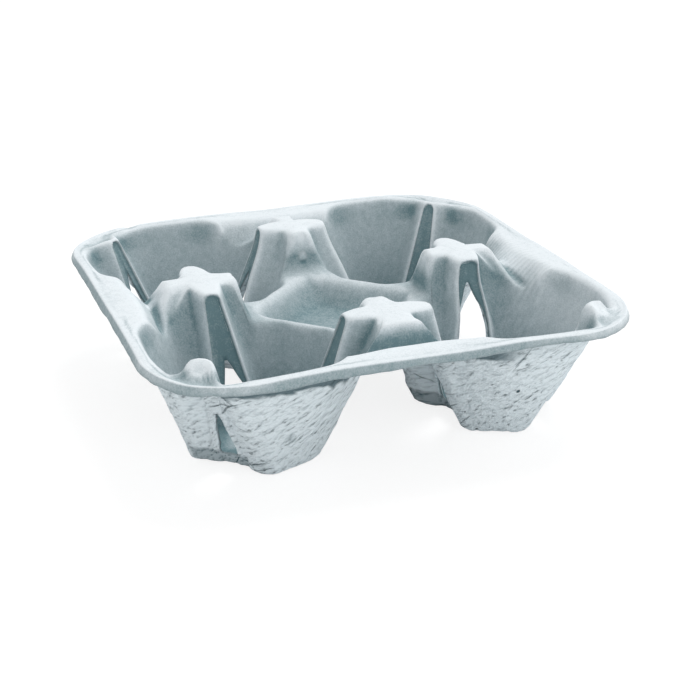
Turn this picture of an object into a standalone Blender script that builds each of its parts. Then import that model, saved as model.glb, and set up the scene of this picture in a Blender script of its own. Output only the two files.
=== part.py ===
"""Four-cup carrier moulded from paper pulp: one thin sheet drawn down into four wells.

The tray repeats eight times round its centre. One eighth of its upper face is worked out
as rows of points that run from the middle of a well, up its wall and over the brim, then
on to the tower, the bowl or the rim beside it. Copies of that eighth make the whole upper
face, and the thickness of the sheet is added below it.
"""
import math

import bmesh
import bpy
import numpy as np

# Rim, in metres
RIM_HALF = 0.108            # centre of the tray to the crest of the rim, across the flats
RIM_HEIGHT = 0.0547         # table to the crest of the rim
CORNER_RADIUS = 0.040       # crest of the rim round a corner of the tray
CORNER_DIP = 0.0025         # how much lower the crest is at its corners
CREST_ROUND = 0.0030        # rounding from the flange into the turned-down lip
LIP_DROP = 0.0050           # free edge of the lip below the crest
LIP_FLARE = 0.0016          # how far the lip leans out
FLANGE = 0.0048             # flat flange between a well and the crest
SHEET = 0.0019              # thickness of the pulp

# Towers, one on each axis of the tray, with four arms each
TOWER_OFFSET = 0.0645       # centre of the tray to the centre of a tower
TOWER_RISE = 0.0042         # tower top above the rim
TOWER_CROWN = 0.0010        # middle of a tower top above its edge
NOSE_REACH = 0.0202         # tower centre to the nose of an arm over a well
NOSE_ROUND = 0.0010         # how far the nose stands out past its edges
NOSE_DROP = 0.0004          # nose below the tower top
PANEL_HALF = 0.0031         # half width of the nose's flat panel, at its top
ARM_HALF = 0.0057           # half width of an arm over a well, at its root
HOLLOW = 0.0076             # tower centre to the hollow between two arms, along each axis
BOWL_ARM = 0.0153           # tower centre to the end of the arm over the bowl
OUTER_ARM = 0.0160          # tower centre to the end of the arm towards the rim
OUTER_DROP = 0.0006         # end of that arm below the tower top
ARM_END_HALF = 0.0052       # half width of those two arms at their ends

# Bridge between a tower and the rim, with a groove along the tower's foot
ARM_FOOT_OFFSET = 0.0823    # centre of the tray to the foot of the outer arm's slope
ARM_FOOT_REACH = 0.0145     # and from the tower's middle line
ARM_FOOT_DEPTH = 0.0087     # and below the rim
SADDLE_OFFSET = 0.0879      # centre of the tray to the bottom of the groove
SADDLE_SWING = 0.0016       # how far the groove's ends swing in
SADDLE_REACH = 0.0230       # half length of the groove
SADDLE_DEPTH = 0.0056       # groove below the rim, in its middle
SADDLE_END_DEPTH = 0.0118   # the same at its ends
LEDGE_OFFSET = 0.0898       # centre of the tray to the groove's outer edge
LEDGE_REACH = 0.0268        # half length of that edge
LEDGE_DEPTH = 0.0048        # that edge below the rim, in its middle
LEDGE_END_DEPTH = 0.0084    # the same at its ends
BRIDGE_OFFSET = 0.0945      # centre of the tray to the inner edge of the bridge
BRIDGE_HALF = 0.0295        # half length of the bridge along the rim

# Bowl in the middle of the tray
RIDGE_REACH = 0.0475        # outer edge of the ridge round the bowl, as |x| + |y|
RIDGE_DEPTH = 0.0150        # ridge below the rim
FACE_OFFSET = 0.0440        # centre of the tray to the foot of a tower's bowl face
FACE_HALF = 0.0124          # half width of that face at its foot
FACE_DEPTH = 0.0135         # foot of that face below the rim
BOWL_EDGE = 0.0395          # centre of the tray to the bowl's edge before a tower
BOWL_DEPTH = 0.0275         # bowl floor below the rim
BOWL_FLOOR = 0.0270         # centre of the tray to the edge of the bowl floor
BOWL_ROUND = 0.0040         # rounding of the bowl's edge
BOWL_FLOOR_ROUND = 0.0055   # rounding of the bowl's floor into its wall

# Wells
WELL_OFFSET = 0.0550        # centre of the tray to the centre of a well, along each axis
FOOT_RADIUS = 0.0284        # centre of a well to the outer corners of its foot
FOOT_ROUND = 0.0058         # rounding of the wall into the floor
FLOOR_RISE = 0.0030         # middle of a well's floor above its flat ring
BRIM_ROUND = 0.0034         # rounding of a wall into the top
BAND_HEIGHT = 0.0066        # plain band of wall under each opening

# Posts in the corners of the tray
POST_OFFSET = 0.0846        # nose of a post, along each axis
POST_HALF = 0.0064          # side of a post's head beyond its nose
POST_PANEL_HALF = 0.0024    # edge of the flat panel beyond the nose
POST_DROP = 0.0006          # head of a post below the rim
POST_MOAT = 0.0036          # dip between a post's head and the rim
HOLLOW_DROP = 0.0036        # hollow beside a post below the rim

# Openings torn through the noses, each an upside-down V in a flat panel
OPENING_DROP = 0.0085       # tip of a tower's opening below the rim
POST_OPENING_DROP = 0.0225  # tip of a post's opening below the rim

# Foot of the wall under each brim point: angle about the well, in degrees from the
# tray's centre round to its corner, and distance from the well's centre in FOOT_RADIUS
FOOT_SHARES = {
    "ridge middle": (0.0, 1.20),
    "ridge": (3.5, 1.21),
    "ridge side": (7.5, 1.22),
    "face foot": (12.0, 1.23),
    "bowl arm": (16.2, 1.17),
    "inner hollow": (19.2, 1.06),
    "inner side": (21.5, 0.88),
    "inner edge": (24.0, 0.72),
    "nose": (52.0, 0.61),
    "outer edge": (77.0, 0.79),
    "outer side": (82.0, 0.89),
    "outer hollow": (84.5, 0.93),
    "outer arm": (90.0, 0.955),
    "saddle": (95.5, 0.955),
    "ledge": (101.0, 0.95),
    "bridge end": (110.0, 0.94),
    "flange start": (121.0, 0.95),
    "flange": (128.0, 0.98),
    "flange middle": (133.0, 1.00),
    "flange end": (138.0, 1.00),
    "post hollow": (144.0, 0.93),
    "post side": (150.0, 0.785),
    "post edge": (157.5, 0.675),
    "post nose": (180.0, 0.60),
}

# Place of the crest beside each rim point, from the middle of a side to a corner
CREST_SHARES = {
    "bridge end": 0.30,
    "flange start": 0.405,
    "flange": 0.545,
    "flange middle": 0.645,
    "flange end": 0.745,
    "post hollow": 0.85,
    "post side": 0.918,
    "post edge": 0.962,
    "post nose": 1.0,
}

ARM_SIDE_SHARE = 0.66       # place of an arm's sides, of NOSE_REACH
ARM_SPINE_SHARE = 0.40      # place of the spine beside them
SPINE_SHARE = 0.80          # end of the spine
RIDGE_SHARES = ((0.5, 0.5), (0.59, 0.405), (0.69, 0.31))   # of RIDGE_REACH
FLANGE_Y_SHARES = (0.37, 0.51, 0.59, 0.66)   # y of the four flange points, of RIM_HALF
POST_HOLLOW_SHARES = (0.90, 0.76)            # x and y of the hollow beside a post
BOWL_SHARES = ((0.52, 0.52), (0.62, 0.42), (0.73, 0.315), (0.92, 0.15), (0.96, 0.075),
               (1.0, 0.0))
FLOOR_SHARES = ((0.51, 0.51), (0.64, 0.435), (0.76, 0.35), (0.945, 0.165), (0.973, 0.083),
                (1.0, 0.0))
RING_SHARE = 0.64           # inner edge of a foot's flat ring, of the way to its outer edge
WIDEST_SHARE = 0.40         # height up the wall where an opening starts to narrow
TIP_SHARE = 0.78            # height of the next row where there is no opening
KNEE_SHARE = 0.4            # bend of the groove and its outer edge, of their half lengths
KNEE_DROP_SHARE = 0.2       # how far they have sunk there, of their whole fall
HALF_SHARE = 0.5            # an opening's side between nose and panel edge, above the wall
OPEN_SHARE = 0.86           # the same where the opening is widest
TIP_HALF_SHARE = 0.24       # the same at its tip
MOAT_SHARE = 0.36           # place of the dip behind a post, from its head to the crest
HALF_GAP_SHARE = 0.45       # most of a gap that one rounding may take
ARM_ROUND_SHARE = 0.62      # rounding of the arm over the bowl, of ARM_END_HALF
WALL_ROUND_SHARE = 0.3      # most of a wall that one rounding may take

TOWER_TOP = RIM_HEIGHT + TOWER_RISE
RIDGE_TOP = RIM_HEIGHT - RIDGE_DEPTH
FACE_FOOT = RIM_HEIGHT - FACE_DEPTH
BOWL_BOTTOM = RIM_HEIGHT - BOWL_DEPTH
CORNER_CENTRE = RIM_HALF - CORNER_RADIUS
CREST_LENGTH = CORNER_CENTRE + CORNER_RADIUS * math.pi / 4
WELL = np.array((WELL_OFFSET, WELL_OFFSET, SHEET))
SAME_POINT = SHEET / 200    # points closer than this are one point
COLOUR = (0.62, 0.69, 0.73, 1.0)


def unit(vectors):
    """Vectors of length one along the given ones."""
    lengths = np.linalg.norm(vectors, axis=-1, keepdims=True)
    return vectors / np.maximum(lengths, SAME_POINT * SAME_POINT)


def toward(start, end, distance):
    """Points at a distance from the start points on the way to the end points."""
    return start + unit(end - start) * distance


def gap(start, end):
    """Distances between pairs of points, as a column."""
    return np.linalg.norm(end - start, axis=-1, keepdims=True)


def bend(start, corner, end):
    """Middle of a soft bend that leaves start and reaches end as the sharp corner does."""
    return (start + 2 * corner + end) / 4


def brim_points():
    """Sharp corners between walls and top, in order round half a well."""
    side = NOSE_REACH * ARM_SIDE_SHARE
    edge = NOSE_REACH - NOSE_ROUND
    nose_top = TOWER_TOP - NOSE_DROP
    ridge = [(RIDGE_REACH * x, RIDGE_REACH * y, RIDGE_TOP) for x, y in RIDGE_SHARES]
    flange_x = RIM_HALF - FLANGE
    start, first, second, end = (RIM_HALF * share for share in FLANGE_Y_SHARES)
    hollow_x, hollow_y = (RIM_HALF * share for share in POST_HOLLOW_SHARES)
    post_top = RIM_HEIGHT - POST_DROP
    points = {
        "ridge middle": ridge[0],
        "ridge": ridge[1],
        "ridge side": ridge[2],
        "face foot": (FACE_OFFSET, FACE_HALF, FACE_FOOT),
        "bowl arm": (TOWER_OFFSET - BOWL_ARM, ARM_END_HALF, TOWER_TOP),
        "inner hollow": (TOWER_OFFSET - HOLLOW, HOLLOW, TOWER_TOP),
        "inner side": (TOWER_OFFSET - ARM_HALF, side, TOWER_TOP),
        "inner edge": (TOWER_OFFSET - PANEL_HALF, edge, nose_top),
        "nose": (TOWER_OFFSET, NOSE_REACH, nose_top),
        "outer edge": (TOWER_OFFSET + PANEL_HALF, edge, nose_top),
        "outer side": (TOWER_OFFSET + ARM_HALF, side, TOWER_TOP),
        "outer hollow": (TOWER_OFFSET + HOLLOW, HOLLOW, TOWER_TOP),
        "outer arm": (ARM_FOOT_OFFSET, ARM_FOOT_REACH, RIM_HEIGHT - ARM_FOOT_DEPTH),
        "saddle": (SADDLE_OFFSET - SADDLE_SWING, SADDLE_REACH, RIM_HEIGHT - SADDLE_END_DEPTH),
        "ledge": (LEDGE_OFFSET, LEDGE_REACH, RIM_HEIGHT - LEDGE_END_DEPTH),
        "bridge end": (BRIDGE_OFFSET + NOSE_ROUND, BRIDGE_HALF, RIM_HEIGHT),
        "flange start": (flange_x - NOSE_ROUND, start, RIM_HEIGHT),
        "flange": (flange_x, first, RIM_HEIGHT - CORNER_DIP / 5),
        "flange middle": (flange_x, second, RIM_HEIGHT - CORNER_DIP / 3),
        "flange end": (flange_x - NOSE_ROUND, end, RIM_HEIGHT - CORNER_DIP / 2),
        "post hollow": (hollow_x, hollow_y, RIM_HEIGHT - HOLLOW_DROP),
        "post side": (POST_OFFSET + POST_HALF, POST_OFFSET - POST_HALF / 4,
                      post_top - POST_DROP * 2),
        "post edge": (POST_OFFSET + POST_PANEL_HALF, POST_OFFSET - POST_PANEL_HALF / 2,
                      post_top),
        "post nose": (POST_OFFSET, POST_OFFSET, post_top),
    }
    return points


def spine_points():
    """Points on the middle line of a tower and its bridge that the brim points face."""
    near = TOWER_OFFSET - BOWL_ARM
    top = TOWER_TOP + TOWER_CROWN
    arm = (TOWER_OFFSET, NOSE_REACH * ARM_SPINE_SHARE, TOWER_TOP + TOWER_CROWN / 3)
    tip = (TOWER_OFFSET, NOSE_REACH * SPINE_SHARE, TOWER_TOP)
    points = {
        "face foot": (FACE_OFFSET, 0, FACE_FOOT),
        "bowl arm": (near, 0, TOWER_TOP),
        "inner hollow": (TOWER_OFFSET, 0, top),
        "inner side": arm,
        "inner edge": tip,
        "nose": tip,
        "outer edge": tip,
        "outer side": arm,
        "outer hollow": (TOWER_OFFSET, 0, top),
        "outer arm": (TOWER_OFFSET + OUTER_ARM, 0, TOWER_TOP - OUTER_DROP / 2),
        "saddle": (SADDLE_OFFSET, 0, RIM_HEIGHT - SADDLE_DEPTH),
        "ledge": (LEDGE_OFFSET, 0, RIM_HEIGHT - LEDGE_DEPTH),
        "bridge end": (BRIDGE_OFFSET, 0, RIM_HEIGHT - NOSE_DROP / 2),
    }
    return points


def knee_points():
    """Points where the way from the brim to the middle line bends, beside the groove."""
    fall = (SADDLE_END_DEPTH - SADDLE_DEPTH) * KNEE_DROP_SHARE
    edge_fall = (LEDGE_END_DEPTH - LEDGE_DEPTH) * KNEE_DROP_SHARE
    points = {
        "outer arm": (TOWER_OFFSET + OUTER_ARM, ARM_END_HALF, TOWER_TOP - OUTER_DROP),
        "saddle": (SADDLE_OFFSET - SADDLE_SWING * KNEE_DROP_SHARE, SADDLE_REACH * KNEE_SHARE,
                   RIM_HEIGHT - SADDLE_DEPTH - fall),
        "ledge": (LEDGE_OFFSET, LEDGE_REACH * KNEE_SHARE, RIM_HEIGHT - LEDGE_DEPTH - edge_fall),
        "bridge end": (BRIDGE_OFFSET, BRIDGE_HALF * KNEE_SHARE, RIM_HEIGHT),
    }
    return points


def crest_points(shares):
    """Crest of the rim at shares of the way from a side's middle to a corner, and its outward
    directions."""
    along = np.array(shares) * CREST_LENGTH
    angle = np.maximum(along - CORNER_CENTRE, 0) / CORNER_RADIUS
    outward = np.stack([np.cos(angle), np.sin(angle), np.zeros_like(angle)], axis=-1)
    straight = np.minimum(along, CORNER_CENTRE)
    rise = np.clip((along - BRIDGE_HALF) / (CREST_LENGTH - BRIDGE_HALF), 0, 1)
    centre = np.stack([np.full_like(along, CORNER_CENTRE), straight,
                       RIM_HEIGHT - CORNER_DIP * rise**2 * (3 - 2 * rise)], axis=-1)
    return centre + outward * CORNER_RADIUS, outward


def with_openings(row, share):
    """Row with the sides of the openings put in, each between a nose and a panel edge."""
    names = list(FOOT_SHARES)
    columns = []
    for index, name in enumerate(names):
        if name in ("nose", "post nose"):
            columns.append(row[index] + (row[index - 1] - row[index]) * share)
        columns.append(row[index])
        if name == "nose":
            columns.append(row[index] + (row[index + 1] - row[index]) * share)
    return np.array(columns)


def column_names():
    """Names of the columns of a row with openings."""
    names = []
    for name in FOOT_SHARES:
        if name in ("nose", "post nose"):
            names.append(name + " side")
        names.append(name)
        if name == "nose":
            names.append("nose far side")
    return names


def well_rows():
    """Rows of points from the middle of a well up its wall and over the brim."""
    names = list(FOOT_SHARES)
    brim = np.array([brim_points()[name] for name in names])
    angles, radii = np.array([FOOT_SHARES[name] for name in names]).T
    turn = np.radians(angles) - 3 * math.pi / 4
    level = np.zeros_like(turn)
    reach = np.stack([np.cos(turn) * radii, np.sin(turn) * radii, level], axis=-1)
    foot = WELL + reach * FOOT_RADIUS
    floor_edge = toward(foot, WELL, FOOT_ROUND)
    centre = np.repeat(WELL[None] + (0, 0, FLOOR_RISE), len(names), axis=0)

    heights = np.full((len(names), 1), TIP_SHARE)
    wall_height = brim[:, 2:] - SHEET
    for name, drop in (("nose", OPENING_DROP), ("post nose", POST_OPENING_DROP)):
        index = names.index(name)
        for near in (index - 1, index, index + 1):
            if near < len(names):
                heights[near] = (RIM_HEIGHT - drop - SHEET) / wall_height[near]
    low = names.index("post side")
    heights[low] = (heights[low - 1] + heights[low + 1]) / 2

    band = foot + (brim - foot) * (BAND_HEIGHT / wall_height)
    widest = foot + (brim - foot) * WIDEST_SHARE
    tip = foot + (brim - foot) * heights
    wall_round = np.minimum(BRIM_ROUND, gap(brim, foot) * WALL_ROUND_SHARE)
    wall_top = toward(brim, foot, wall_round)
    edge = names.index("bowl arm")
    side = unit(brim[edge + 1] - brim[edge]) * BRIM_ROUND
    wall_top[edge] += side
    wall_top[edge - 1] += side / 2
    tip[edge] += side
    land = land_points(brim)
    land_edge = toward(brim, land, np.minimum(BRIM_ROUND, gap(brim, land) * HALF_GAP_SHARE))
    land_edge[edge] = toward(brim[edge], land[edge], ARM_END_HALF * ARM_ROUND_SHARE)
    rows = [
        with_openings(centre, HALF_SHARE),
        with_openings(WELL + (floor_edge - WELL) * RING_SHARE, HALF_SHARE),
        with_openings(floor_edge, HALF_SHARE),
        with_openings(bend(floor_edge, foot, band), OPEN_SHARE),
        with_openings(band, OPEN_SHARE),
        with_openings(widest, OPEN_SHARE),
        with_openings(tip, TIP_HALF_SHARE),
        with_openings(wall_top, HALF_SHARE),
        with_openings(bend(wall_top, brim, land_edge), HALF_SHARE),
        with_openings(land_edge, HALF_SHARE),
    ]
    return rows


def land_points(brim):
    """Points on the bowl's edge, the spine or the crest that the brim points face."""
    spine = spine_points()
    knees = knee_points()
    points = []
    for index, name in enumerate(FOOT_SHARES):
        if name in knees:
            points.append(knees[name])
        elif name in spine:
            points.append(spine[name])
        elif name in CREST_SHARES:
            points.append(crest_points([CREST_SHARES[name]])[0][0])
        else:
            across, along = BOWL_SHARES[index]
            points.append((BOWL_EDGE * across, BOWL_EDGE * along, brim[index][2]))
    return np.array(points)


def bowl_rows(ridge):
    """Rows of points from the ridge down into the middle of the bowl."""
    level = [RIDGE_TOP, RIDGE_TOP, RIDGE_TOP, FACE_FOOT, FACE_FOOT, FACE_FOOT]
    edge = np.array([(BOWL_EDGE * x, BOWL_EDGE * y, z) for (x, y), z in zip(BOWL_SHARES, level)])
    foot = np.array([(BOWL_FLOOR * x, BOWL_FLOOR * y, BOWL_BOTTOM) for x, y in FLOOR_SHARES])
    middle = np.repeat(np.array([(0, 0, BOWL_BOTTOM)]), len(foot), axis=0)
    wall_top = toward(edge, foot, BOWL_ROUND)
    wall_foot = toward(foot, edge, BOWL_FLOOR_ROUND)
    floor_edge = toward(foot, middle, BOWL_FLOOR_ROUND)
    return [ridge, bend(ridge, edge, wall_top), wall_top, wall_foot,
            bend(wall_foot, foot, floor_edge), floor_edge, middle]


def rim_rows(flange, names):
    """Rows of points from the flange over the crest and down to the free edge of the lip."""
    shares = [CREST_SHARES.get(name, 0.0) for name in names]
    shares[names.index("knee")] = CREST_SHARES["bridge end"] * KNEE_SHARE
    side = names.index("post nose side")
    shares[side] = (shares[side - 1] + shares[side + 1]) / 2
    crest, outward = crest_points(shares)
    crest_start = toward(crest, flange,
                         np.minimum(CREST_ROUND, gap(crest, flange) * HALF_GAP_SHARE))
    lip = crest + outward * LIP_FLARE - np.array((0, 0, LIP_DROP))
    crest_end = toward(crest, lip, CREST_ROUND)
    moat = flange + (crest_start - flange) * MOAT_SHARE
    depth = [POST_MOAT if name.startswith(("post nose", "post edge")) else 0 for name in names]
    depth[names.index("post side")] = POST_MOAT * HALF_SHARE
    moat[:, 2] -= depth
    return [flange, moat, crest_start, bend(crest_start, crest, crest_end), crest_end, lip]


def tower_rows(land_edge, names):
    """Three rows from the brim of a tower and its bridge to their middle line."""
    spine = spine_points()
    knees = knee_points()
    middle = np.array([spine["nose" if name.startswith("nose") else name] for name in names])
    bent = (land_edge + middle) / 2
    for index, name in enumerate(names):
        if name in knees:
            bent[index] = knees[name]
    return [land_edge, bent, middle]


def cells(rows, is_open=None):
    """Four-cornered cells between neighbouring rows and columns, as one array."""
    grid = np.array(rows)
    quads = np.stack([grid[:-1, :-1], grid[:-1, 1:], grid[1:, 1:], grid[1:, :-1]], axis=2)
    if is_open is None:
        return quads.reshape(-1, 4, 3)
    return quads[~is_open]


def eighth():
    """Cells of one eighth of the upper face, from a well out to tower, bowl and rim."""
    rows = well_rows()
    names = column_names()
    is_open = np.zeros((len(rows) - 1, len(names) - 1), bool)
    band = 4
    for name in ("nose side", "nose", "post nose side"):
        is_open[band:band + 2, names.index(name)] = True
    edge = rows[-1]
    first = names.index("face foot")
    last = names.index("bridge end")
    tower = tower_rows(edge[first:last + 1], names[first:last + 1])
    ridge = np.vstack([edge[:first], np.array(tower)[:, 0]])
    flange = np.vstack([np.array(tower)[:0:-1, -1], edge[last:]])
    rim_names = ["middle", "knee"] + names[last:]
    return np.concatenate([cells(rows, is_open), cells(tower), cells(bowl_rows(ridge)),
                           cells(rim_rows(flange, rim_names))])


def upper_face():
    """Cells of the whole upper face, all wound to face up."""
    part = eighth()
    copies = []
    for swap in (False, True):
        for x_sign in (1, -1):
            for y_sign in (1, -1):
                copy = part[..., [1, 0, 2]] if swap else part
                copy = copy * np.array((x_sign, y_sign, 1))
                mirrored = (swap + (x_sign < 0) + (y_sign < 0)) % 2
                copies.append(copy if mirrored else copy[:, ::-1])
    return np.concatenate(copies)


def upper_mesh():
    """Triangles of the upper face with shared corners."""
    mesh = bmesh.new()
    for cell in upper_face():
        mesh.faces.new([mesh.verts.new(point) for point in cell])
    bmesh.ops.remove_doubles(mesh, verts=mesh.verts, dist=SAME_POINT)
    bmesh.ops.triangulate(mesh, faces=mesh.faces, quad_method="SHORT_EDGE")
    mesh.normal_update()
    return mesh


def lower_point(vert):
    """Point of the under face below a corner of the upper face."""
    flat_ring = abs(vert.co.z - SHEET) < SAME_POINT
    if flat_ring:
        return vert.co.x, vert.co.y, 0.0
    depth = SHEET * min(vert.calc_shell_factor(), 1.5)
    return vert.co - vert.normal * depth


def thick_mesh(upper):
    """Closed body between the upper face and the under face."""
    body = bmesh.new()
    upper.verts.index_update()
    top = [body.verts.new(vert.co) for vert in upper.verts]
    under = [body.verts.new(lower_point(vert)) for vert in upper.verts]
    for face in upper.faces:
        corners = [vert.index for vert in face.verts]
        body.faces.new([top[index] for index in corners])
        body.faces.new([under[index] for index in reversed(corners)])
    for face in upper.faces:
        for loop in face.loops:
            if loop.edge.is_boundary:
                start = loop.vert.index
                end = loop.link_loop_next.vert.index
                body.faces.new([top[end], top[start], under[start], under[end]])
    bmesh.ops.triangulate(body, faces=[face for face in body.faces if len(face.verts) > 3])
    return body


def pulp():
    """Dull pale blue-grey moulded pulp."""
    material = bpy.data.materials.new("moulded_pulp")
    material.use_nodes = True
    shader = material.node_tree.nodes["Principled BSDF"]
    shader.inputs["Base Color"].default_value = COLOUR
    shader.inputs["Roughness"].default_value = 0.9
    return material


def main():
    for old in list(bpy.data.objects):
        bpy.data.objects.remove(old)
    upper = upper_mesh()
    body = thick_mesh(upper)
    mesh = bpy.data.meshes.new("cup_carrier")
    body.to_mesh(mesh)
    upper.free()
    body.free()
    mesh.materials.append(pulp())
    carrier = bpy.data.objects.new("cup_carrier", mesh)
    bpy.context.scene.collection.objects.link(carrier)


main()
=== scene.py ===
# %% Start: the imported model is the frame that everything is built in
import math

import bpy
import numpy as np
from mathutils import Matrix, Vector


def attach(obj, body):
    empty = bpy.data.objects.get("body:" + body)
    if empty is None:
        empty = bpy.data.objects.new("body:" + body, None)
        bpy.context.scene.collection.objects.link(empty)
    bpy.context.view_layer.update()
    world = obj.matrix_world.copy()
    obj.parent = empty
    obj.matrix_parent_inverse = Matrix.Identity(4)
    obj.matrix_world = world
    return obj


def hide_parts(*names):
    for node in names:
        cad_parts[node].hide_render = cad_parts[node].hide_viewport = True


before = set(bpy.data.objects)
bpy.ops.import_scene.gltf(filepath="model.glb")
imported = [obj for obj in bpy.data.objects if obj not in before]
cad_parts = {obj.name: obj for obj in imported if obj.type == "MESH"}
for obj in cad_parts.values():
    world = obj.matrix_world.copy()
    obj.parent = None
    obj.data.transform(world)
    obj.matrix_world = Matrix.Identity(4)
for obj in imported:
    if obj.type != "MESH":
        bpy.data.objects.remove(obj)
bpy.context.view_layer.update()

# %% [markdown]
# The real carrier is one sheet of wet paper pulp, sucked on to a metal mould and dried.
# The side that lay on the mould is smooth, and the other side is as rough as felt. It
# could be sculpted by hand, or subdivided from a coarse cage, but each fold of it follows
# a simple rule, so here a grid of points is worked out with numpy instead. All sizes
# below are in millimetres, and the mesh is made smaller by a thousand at the end.

# %% Sizes of the carrier, in millimetres
MM = 0.001  # one millimetre in the scene's metres
RIM_HALF = 108.0  # middle of the carrier to the crest of its rim
RIM_HEIGHT = 54.7  # table to the crest
CORNER_RADIUS = 40.0  # crest round a corner
CORNER_DIP = 2.5  # how much lower the crest is there
CREST_ROUND = 1.0  # rounding on both sides of the crest
LIP_FLARE, LIP_DROP = 1.3, 4.9  # how far the turned-down lip leans out and hangs down
SHEET = 1.9  # thickness of the pulp
TOWER_X = 64.5  # middle of the carrier to the middle of a tower
TOWER_TOP = RIM_HEIGHT + 4.6
RIDGE_TOP = RIM_HEIGHT - 14.8  # ridge round the bowl
FACE_FOOT = RIM_HEIGHT - 13.4  # foot of a tower's slope to the bowl
BOWL_FLOOR = RIM_HEIGHT - 27.5
BOWL_CROWN = 0.8  # middle of the bowl's floor above its edge
BOWL_EDGE_X, BOWL_FOOT_X = 39.5, 27.0  # middle of the carrier to the bowl's edge and floor
BOWL_ROUND, BOWL_FOOT_ROUND, BOWL_FLOOR_ROUND = 4.0, 5.5, 6.0
WELL_X = 55.0  # middle of the carrier to the middle of a well, in x and in y
WELL = np.array((WELL_X, WELL_X, SHEET))
FLOOR_RISE = 3.0  # middle of a well's floor above the ring that it stands on
FOOT_RADIUS = 28.4  # middle of a well to its foot, where a station says 1
FOOT_ROUND, BRIM_ROUND, ARM_ROUND = 2.2, 2.6, 3.2
BAND = 6.6 + SHEET  # height of the plain wall below each tear
BRIDGE_HALF = 29.5  # half length of the bridge between two wells, along the rim

# name, brim x, y, z, foot angle in degrees, foot distance in FOOT_RADIUS, columns to the next
STATIONS = [
    ("ridge middle", 23.75, 23.75, RIDGE_TOP, 0.0, 1.20, 4),
    ("ridge", 28.0, 19.2, RIDGE_TOP, 3.5, 1.21, 4),
    ("ridge side", 32.8, 14.7, RIDGE_TOP + 0.2, 7.5, 1.22, 6),
    ("face foot", 44.0, 12.4, FACE_FOOT, 12.0, 1.23, 5),
    ("bowl arm", 49.2, 5.4, TOWER_TOP, 16.2, 1.17, 6),
    ("inner hollow", 56.8, 7.7, TOWER_TOP - 0.3, 19.2, 1.06, 5),
    ("inner side", 58.6, 13.3, TOWER_TOP, 21.5, 0.88, 4),
    ("inner edge", 61.3, 19.4, TOWER_TOP - 0.3, 24.0, 0.72, 7),
    ("nose", 64.5, 20.4, TOWER_TOP - 0.3, 52.0, 0.61, 7),
    ("outer edge", 67.7, 19.4, TOWER_TOP - 0.3, 77.0, 0.79, 4),
    ("outer side", 70.4, 13.3, TOWER_TOP, 82.0, 0.89, 5),
    ("outer hollow", 72.2, 7.7, TOWER_TOP - 0.3, 84.5, 0.93, 8),
    ("outer arm", 82.3, 14.5, RIM_HEIGHT - 8.7, 90.0, 0.955, 6),
    ("saddle", 86.3, 23.0, RIM_HEIGHT - 11.8, 95.5, 0.955, 5),
    ("ledge", 89.8, 26.8, RIM_HEIGHT - 8.4, 101.0, 0.95, 6),
    ("bridge end", 95.3, BRIDGE_HALF, RIM_HEIGHT, 110.0, 0.94, 6),
    ("flange start", 102.2, 40.0, RIM_HEIGHT, 121.0, 0.95, 5),
    ("flange", 103.2, 55.1, RIM_HEIGHT - 0.5, 128.0, 0.98, 3),
    ("flange middle", 103.2, 63.7, RIM_HEIGHT - 0.8, 133.0, 1.00, 3),
    ("flange end", 102.2, 71.3, RIM_HEIGHT - 1.3, 138.0, 1.00, 5),
    ("post hollow", 97.2, 82.1, RIM_HEIGHT - 3.6, 144.0, 0.93, 4),
    ("post side", 91.0, 83.0, RIM_HEIGHT - 1.2, 150.0, 0.785, 3),
    ("post edge", 87.0, 83.4, RIM_HEIGHT - 0.4, 157.5, 0.675, 7),
    ("post nose", 84.6, 84.6, RIM_HEIGHT - 0.4, 180.0, 0.60, 0),
]
NAMES = [row[0] for row in STATIONS]
at = NAMES.index
print(len(STATIONS), "stations round half a well")

# %% [markdown]
# The brim of a well isn't the end of the sheet. From each station the top goes on to a place
# of its own: the bowl's edge, the middle line of the tower and its bridge, or the crest of
# the rim. Beside the outer arm it bends on its way, at a knee, because the arm ends in a
# steep face and drops to a saddle before it rises to the rim.

# %% Where the top leads to from the brim
TIP = (TOWER_X, 16.4, TOWER_TOP)
SPINE = [(44.0, 0, FACE_FOOT), (49.2, 0, TOWER_TOP), (TOWER_X, 0, TOWER_TOP + 0.6),
         (TOWER_X, 8.1, TOWER_TOP + 0.3), TIP, TIP, TIP, (TOWER_X, 8.1, TOWER_TOP + 0.3),
         (TOWER_X, 0, TOWER_TOP + 0.6), (79.8, 0, TOWER_TOP - 0.5),
         (87.9, 0, RIM_HEIGHT - 5.6), (89.8, 0, RIM_HEIGHT - 4.8), (94.5, 0, RIM_HEIGHT - 0.2)]
KNEES = {"outer arm": (80.3, 5.4, TOWER_TOP - 0.9), "saddle": (87.6, 9.2, RIM_HEIGHT - 6.8),
         "ledge": (89.8, 10.7, RIM_HEIGHT - 5.5), "bridge end": (94.5, 11.8, RIM_HEIGHT)}
# One tower's outer arm is wide, with a flat steep end
WIDE_SPINE = [*SPINE[:-4], (80.6, 0, TOWER_TOP - 0.5), (84.0, 0, RIM_HEIGHT - 7.6), *SPINE[-2:]]
WIDE_KNEES = {**KNEES, "outer arm": (80.8, 8.6, TOWER_TOP - 1.0),
              "saddle": (83.8, 16.0, RIM_HEIGHT - 9.2)}
# Half a side of the crest, and the shares of it that the stations from the bridge end lead to
CREST_LENGTH = RIM_HALF - CORNER_RADIUS + CORNER_RADIUS * math.pi / 4
CREST_SHARES = [0.30, 0.405, 0.545, 0.645, 0.745, 0.85, 0.918, 0.962, 1.0]
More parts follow.
